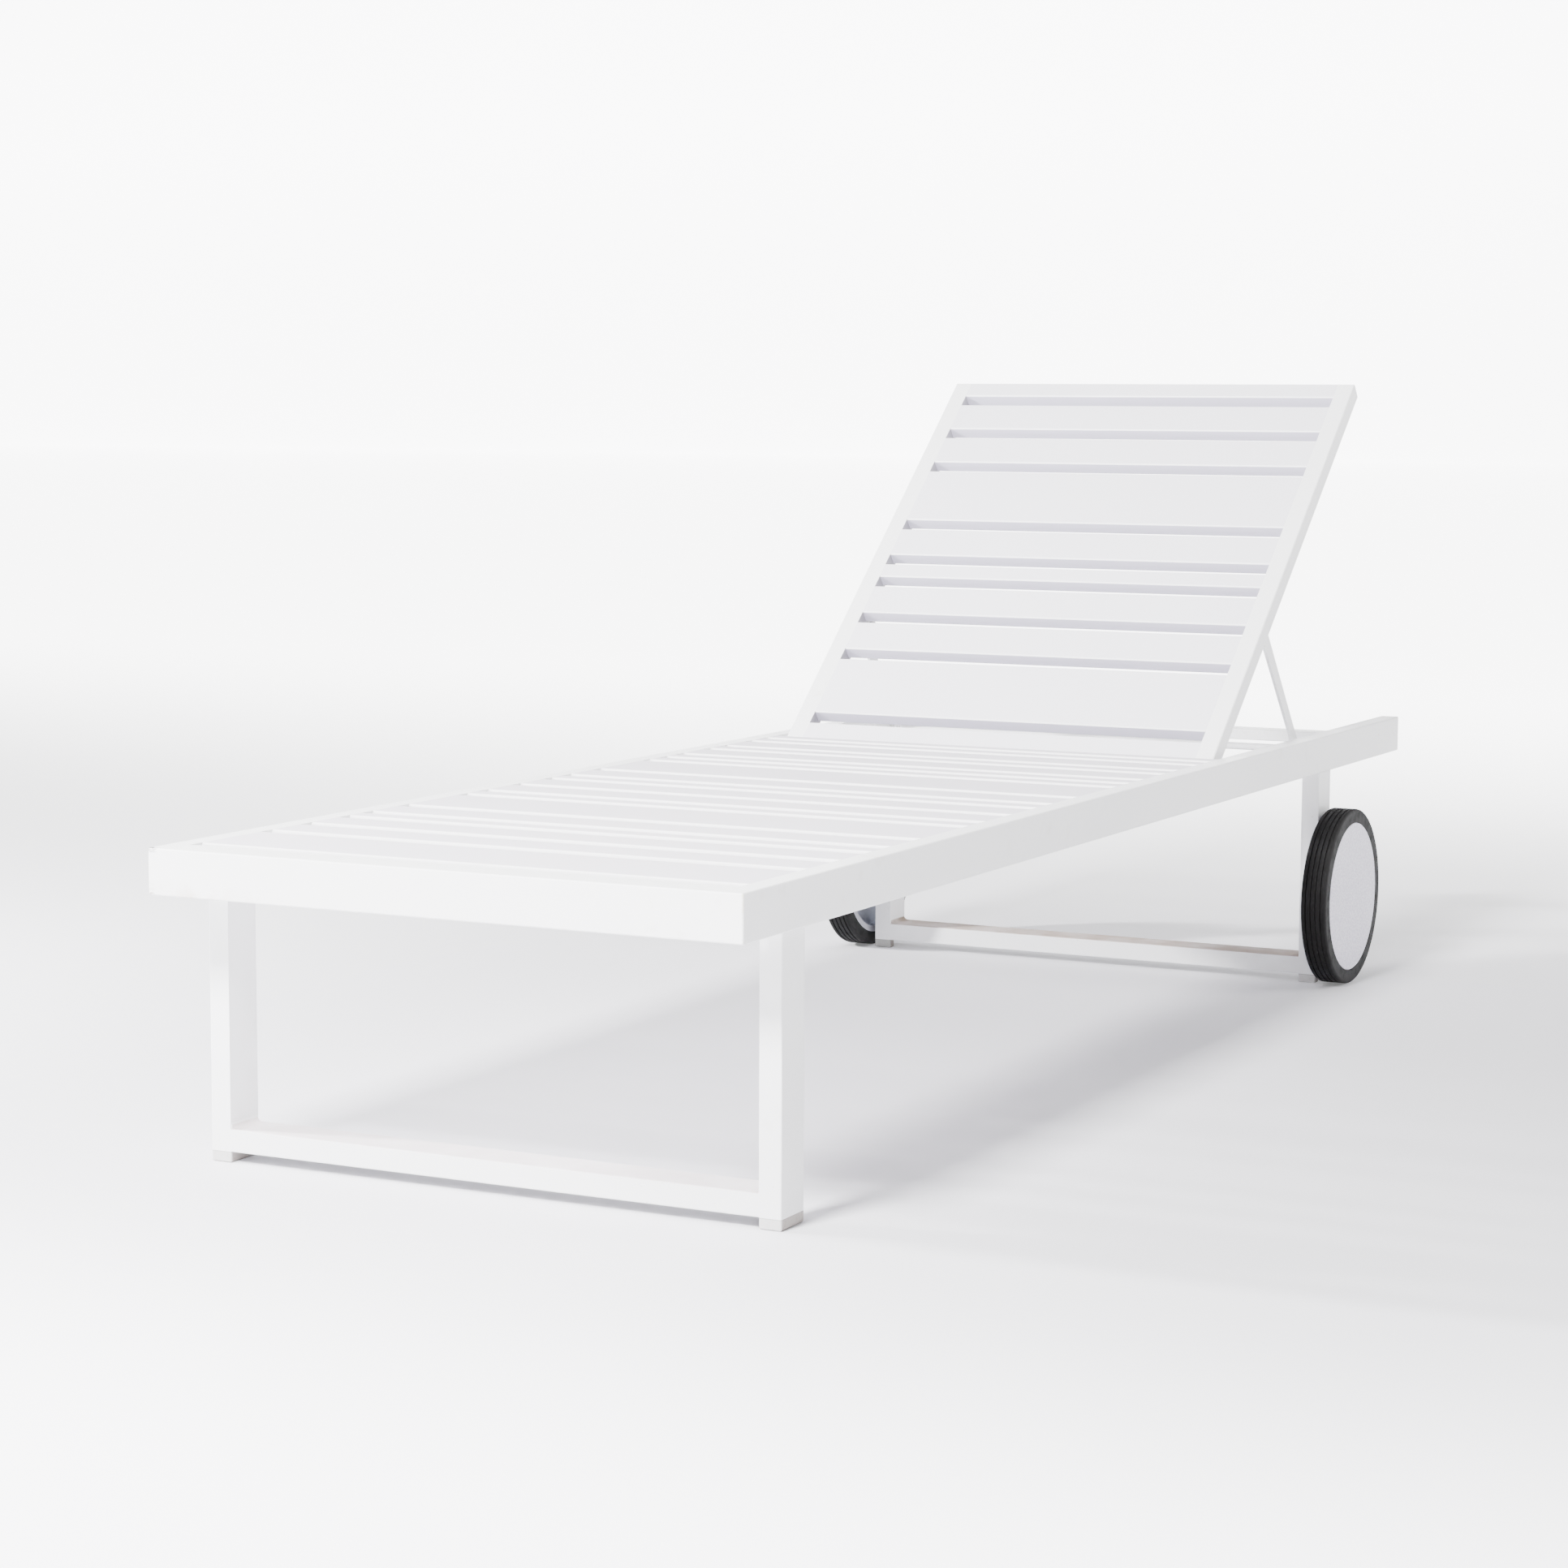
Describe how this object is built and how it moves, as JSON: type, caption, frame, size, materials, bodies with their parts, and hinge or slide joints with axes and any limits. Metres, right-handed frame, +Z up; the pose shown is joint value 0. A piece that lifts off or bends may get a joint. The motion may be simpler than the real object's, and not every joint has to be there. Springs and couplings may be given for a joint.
{
  "type": "reclining sun lounger",
  "caption": "Flat slatted lounger on two leg frames, with a hinged backrest held by a prop in notched racks and wheels at the head end.",
  "frame": {"origin": "on the floor, below the middle of the frame's length and width", "axes": "+Y from the foot end to the head end, +X to the right seen from the foot end, +Z up"},
  "size_m": [0.776, 2.1, 0.8396],
  "materials": {
    "coated_aluminium": "white powder coat over aluminium tube, satin",
    "coated_steel": "white powder coat over steel",
    "steel": "zinc-plated steel",
    "cap_plastic": "moulded, white",
    "foot_plastic": "moulded, off-white",
    "tyre": "black rubber with fine grooves",
    "rim_plastic": "moulded, light grey",
    "cover_plastic": "moulded, pale lavender grey, finely grained"
  },
  "bodies": {
    "frame": {"axle_fittings": "steel", "foot_rail": "coated_aluminium", "front_left_foot": "foot_plastic", "front_left_leg": "coated_aluminium", "front_right_foot": "foot_plastic", "front_right_leg": "coated_aluminium", "front_stretcher": "coated_aluminium", "head_cross_rail": "coated_aluminium", "hinge_pins": "steel", "left_rack": "coated_steel", "left_side_rail": "coated_aluminium", "rail_end_caps": "cap_plastic", "rear_left_foot": "foot_plastic", "rear_left_leg": "coated_aluminium", "rear_right_foot": "foot_plastic", "rear_right_leg": "coated_aluminium", "rear_stretcher": "coated_aluminium", "right_rack": "coated_steel", "right_side_rail": "coated_aluminium", "seat_slat_01": "coated_aluminium", "seat_slat_02": "coated_aluminium", "seat_slat_03": "coated_aluminium", "seat_slat_04": "coated_aluminium", "seat_slat_05": "coated_aluminium", "seat_slat_06": "coated_aluminium", "seat_slat_07": "coated_aluminium", "seat_slat_08": "coated_aluminium", "seat_slat_09": "coated_aluminium", "seat_slat_10": "coated_aluminium", "seat_slat_11": "coated_aluminium", "seat_slat_12": "coated_aluminium", "seat_slat_13": "coated_aluminium", "seat_slat_14": "coated_aluminium", "seat_slat_15": "coated_aluminium", "seat_slat_16": "coated_aluminium", "seat_slat_17": "coated_aluminium", "seat_slat_18": "coated_aluminium", "seat_slat_19": "coated_aluminium"},
    "backrest": {"back_bottom_rail": "coated_aluminium", "back_slat_01": "coated_aluminium", "back_slat_02": "coated_aluminium", "back_slat_03": "coated_aluminium", "back_slat_04": "coated_aluminium", "back_slat_05": "coated_aluminium", "back_slat_06": "coated_aluminium", "back_slat_07": "coated_aluminium", "back_slat_08": "coated_aluminium", "back_top_rail": "coated_aluminium", "left_stile": "coated_aluminium", "prop_lugs": "coated_steel", "right_stile": "coated_aluminium"},
    "prop": {"left_prop_arm": "coated_steel", "right_prop_arm": "coated_steel", "prop_cross_rod": "coated_steel"},
    "left_wheel": {"left_tyre": "tyre", "left_rim": "rim_plastic", "left_wheel_cover": "cover_plastic"},
    "right_wheel": {"right_tyre": "tyre", "right_rim": "rim_plastic", "right_wheel_cover": "cover_plastic"}
  },
  "joints": [
    {"name": "backrest_hinge", "type": "hinge", "parent": "frame", "child": "backrest", "pos_m": [0, 0.35474, 0.3375], "axis": [1, 0, 0], "range_deg": [-40.9, 12]},
    {"name": "prop_hinge", "type": "hinge", "parent": "backrest", "child": "prop", "pos_m": [0, 0.56665, 0.48997], "axis": [1, 0, 0], "range_deg": [-27, 90.5]},
    {"name": "left_wheel_spin", "type": "hinge", "parent": "frame", "child": "left_wheel", "pos_m": [-0.37, 0.727, 0.124], "axis": [1, 0, 0], "continuous": true},
    {"name": "right_wheel_spin", "type": "hinge", "parent": "frame", "child": "right_wheel", "pos_m": [0.37, 0.727, 0.124], "axis": [1, 0, 0], "continuous": true}
  ],
  "couplings": [
    {"joint": "prop_hinge", "follows": "backrest_hinge", "ratio": -2.1955}
  ]
}
